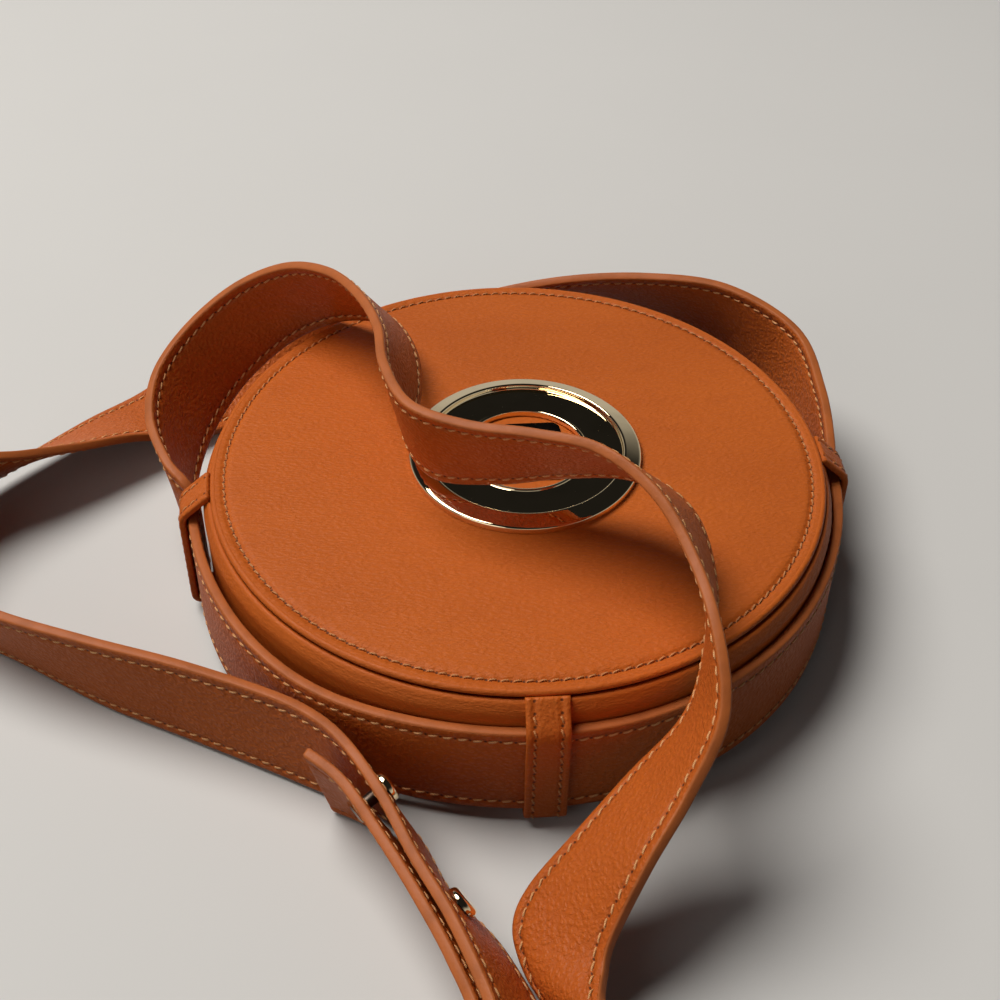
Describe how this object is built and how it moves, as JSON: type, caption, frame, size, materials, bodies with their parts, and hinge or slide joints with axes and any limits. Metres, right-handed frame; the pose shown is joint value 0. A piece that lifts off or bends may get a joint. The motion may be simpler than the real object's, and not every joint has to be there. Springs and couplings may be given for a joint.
{
  "type": "round sling bag",
  "caption": "Round leather sling bag: two discs and a gusset with a zip, a metal ring on the front, and a long belt held by keeper loops and lying round the bag.",
  "frame": {"origin": "centre of the back panel, on the face the bag lies on", "axes": "+Z from the back panel to the front panel, -Y towards the keeper loop opposite the zip, +X towards the right keeper loop"},
  "size_m": [0.3143, 0.3552, 0.097],
  "materials": {
    "leather": "tan leather with a fine grain",
    "belt_leather": "tan belt leather, edges painted a lighter orange-tan, gold thread",
    "lining": "matt brown cloth",
    "board": "fibre board",
    "tape": "brown woven tape",
    "gold_metal": "polished pale gold",
    "dark_metal": "dark bar with no lettering"
  },
  "bodies": {
    "bag": {"back_panel": "leather", "back_board": "board", "back_lining": "lining", "front_panel": "leather", "front_board": "board", "front_lining": "lining", "back_rolled_seam": "leather", "front_rolled_seam": "leather", "slip_pocket": "lining", "gusset": "leather", "gusset_board": "board", "gusset_lining": "lining", "zip_strip_front": "leather", "zip_strip_back": "leather", "zip_tape_front": "tape", "zip_tape_back": "tape", "zip_teeth_front": "gold_metal", "zip_teeth_back": "gold_metal", "zip_stops": "gold_metal", "zip_end_tabs": "leather", "ring": "gold_metal", "ring_inlay": "leather", "ring_bar": "dark_metal", "ring_rivets": "gold_metal", "ring_washers": "gold_metal", "belt_lap_inner": "belt_leather", "belt_front_turn": "belt_leather", "belt_over_face": "belt_leather", "belt_round_gusset": "belt_leather", "belt_behind": "belt_leather", "belt_left_turn": "belt_leather", "belt_lap_outer": "belt_leather", "stud_caps": "gold_metal", "stud_posts": "gold_metal", "stud_feet": "gold_metal", "keeper_loop_left": "belt_leather", "keeper_loop_right": "belt_leather", "keeper_loop_bottom": "belt_leather"},
    "slider": {"zip_slider": "gold_metal", "pull_pin": "gold_metal"},
    "pull": {"zip_pull": "gold_metal"}
  },
  "joints": [
    {"name": "zip_slider_travel", "type": "hinge", "parent": "bag", "child": "slider", "pos_m": [0, 0, 0.025], "axis": [0, 0, 1], "range_deg": [-140, 0]},
    {"name": "zip_pull_swing", "type": "hinge", "parent": "slider", "child": "pull", "pos_m": [-0.10182, 0.02351, 0.025], "axis": [0, 0, 1], "range_deg": [0, 24]}
  ]
}
